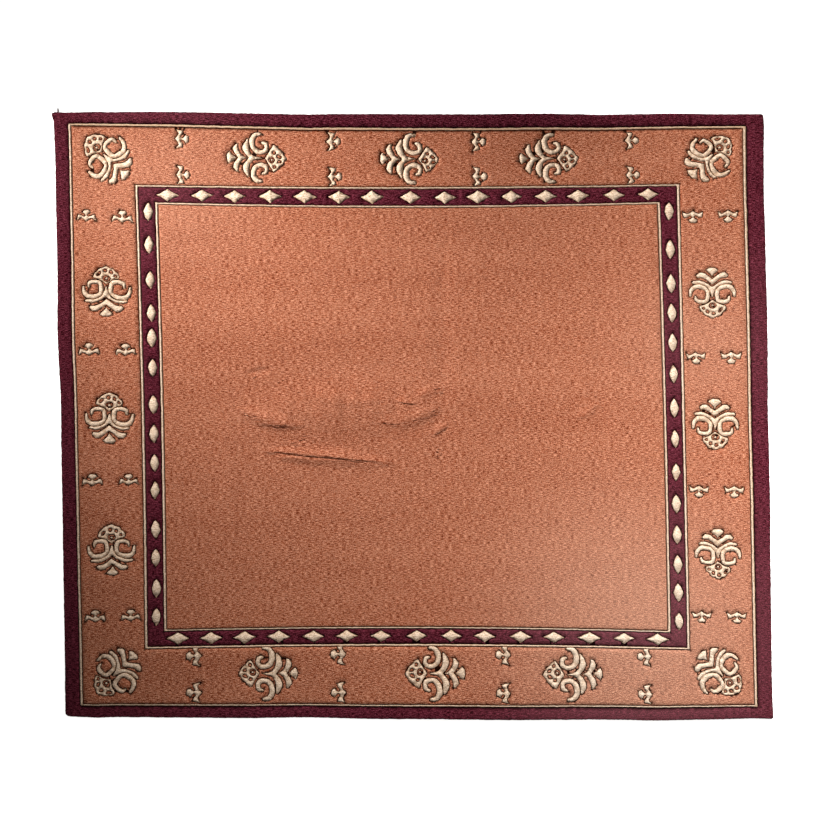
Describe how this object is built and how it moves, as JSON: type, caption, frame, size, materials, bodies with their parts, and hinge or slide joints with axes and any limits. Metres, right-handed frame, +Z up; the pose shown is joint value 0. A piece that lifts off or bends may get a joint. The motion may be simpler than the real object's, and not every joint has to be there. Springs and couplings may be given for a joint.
{
  "type": "area rug",
  "caption": "Large rectangular hand-knotted wool rug lying pile up, with a plain field, banded borders, carved floral motifs in relief and soft folds.",
  "frame": {"origin": "on the floor, at the middle of the box round the rug as it lies", "axes": "+X along the rug's length, +Y across it, +Z up out of the pile"},
  "size_m": [3.028, 2.559, 0.03],
  "materials": {
    "terracotta_pile": "cut wool pile, matt"
  },
  "bodies": {
    "root": {"rug": "terracotta_pile"}
  },
  "joints": []
}
